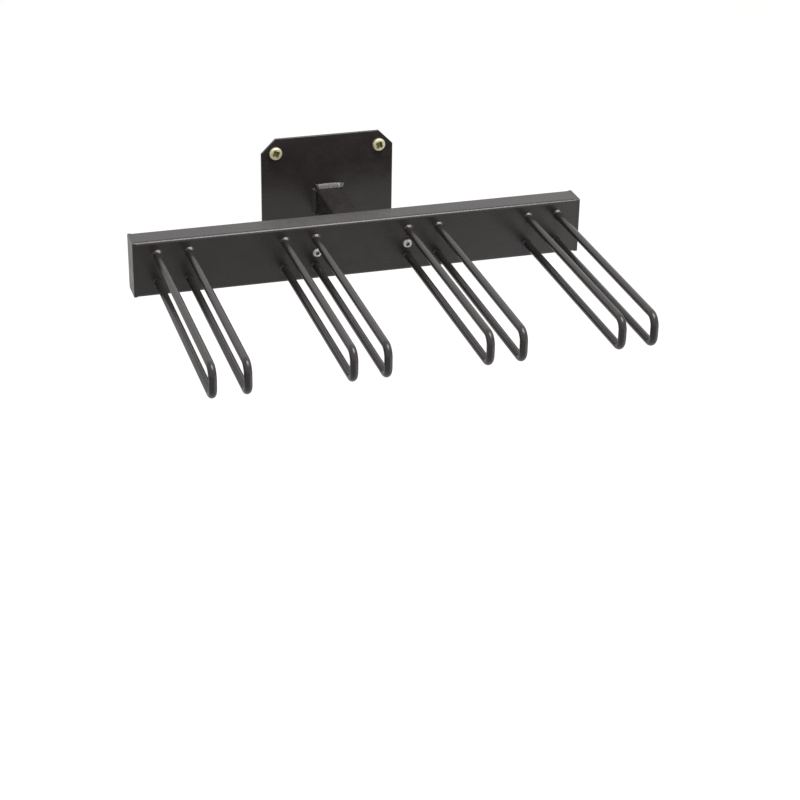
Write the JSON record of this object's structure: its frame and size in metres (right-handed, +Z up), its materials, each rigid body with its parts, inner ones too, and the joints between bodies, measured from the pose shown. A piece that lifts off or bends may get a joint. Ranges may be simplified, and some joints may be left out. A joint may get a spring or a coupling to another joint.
{
  "type": "skateboard wall rack",
  "caption": "Wall rack: a screwed square plate and short arm carry a flat crossbar with paired closed rod loops that hold skateboards by their decks.",
  "frame": {"origin": "centre of the wall plate's back face, where it rests on the wall", "axes": "+X along the crossbar to the right as seen from the room, +Y into the wall, +Z up; the loops point along -Y"},
  "size_m": [0.424, 0.3835, 0.13],
  "materials": {
    "black_powder_coat": "satin black powder coat on steel",
    "yellow_zinc": "yellow passivated zinc plating",
    "bright_zinc": "bright zinc plating"
  },
  "bodies": {
    "root": {"wall_plate": "black_powder_coat", "arm_tube": "black_powder_coat", "arm_flange": "black_powder_coat", "arm_rear_weld": "black_powder_coat", "arm_front_weld": "black_powder_coat", "wall_screw_1": "yellow_zinc", "wall_screw_2": "yellow_zinc", "wall_screw_3": "yellow_zinc", "wall_screw_4": "yellow_zinc", "crossbar_tube": "black_powder_coat", "crossbar_end_left": "black_powder_coat", "crossbar_end_right": "black_powder_coat", "rod_loop_1": "black_powder_coat", "rod_loop_2": "black_powder_coat", "rod_loop_3": "black_powder_coat", "rod_loop_4": "black_powder_coat", "rod_loop_5": "black_powder_coat", "rod_loop_6": "black_powder_coat", "rod_loop_7": "black_powder_coat", "rod_loop_8": "black_powder_coat", "rod_weld_1_upper": "black_powder_coat", "rod_weld_1_lower": "black_powder_coat", "rod_weld_2_upper": "black_powder_coat", "rod_weld_2_lower": "black_powder_coat", "rod_weld_3_upper": "black_powder_coat", "rod_weld_3_lower": "black_powder_coat", "rod_weld_4_upper": "black_powder_coat", "rod_weld_4_lower": "black_powder_coat", "rod_weld_5_upper": "black_powder_coat", "rod_weld_5_lower": "black_powder_coat", "rod_weld_6_upper": "black_powder_coat", "rod_weld_6_lower": "black_powder_coat", "rod_weld_7_upper": "black_powder_coat", "rod_weld_7_lower": "black_powder_coat", "rod_weld_8_upper": "black_powder_coat", "rod_weld_8_lower": "black_powder_coat", "bar_screw_left": "bright_zinc", "bar_screw_right": "bright_zinc", "bar_washer_left": "bright_zinc", "bar_washer_right": "bright_zinc", "bar_nut_left": "bright_zinc", "bar_nut_right": "bright_zinc"}
  },
  "joints": []
}
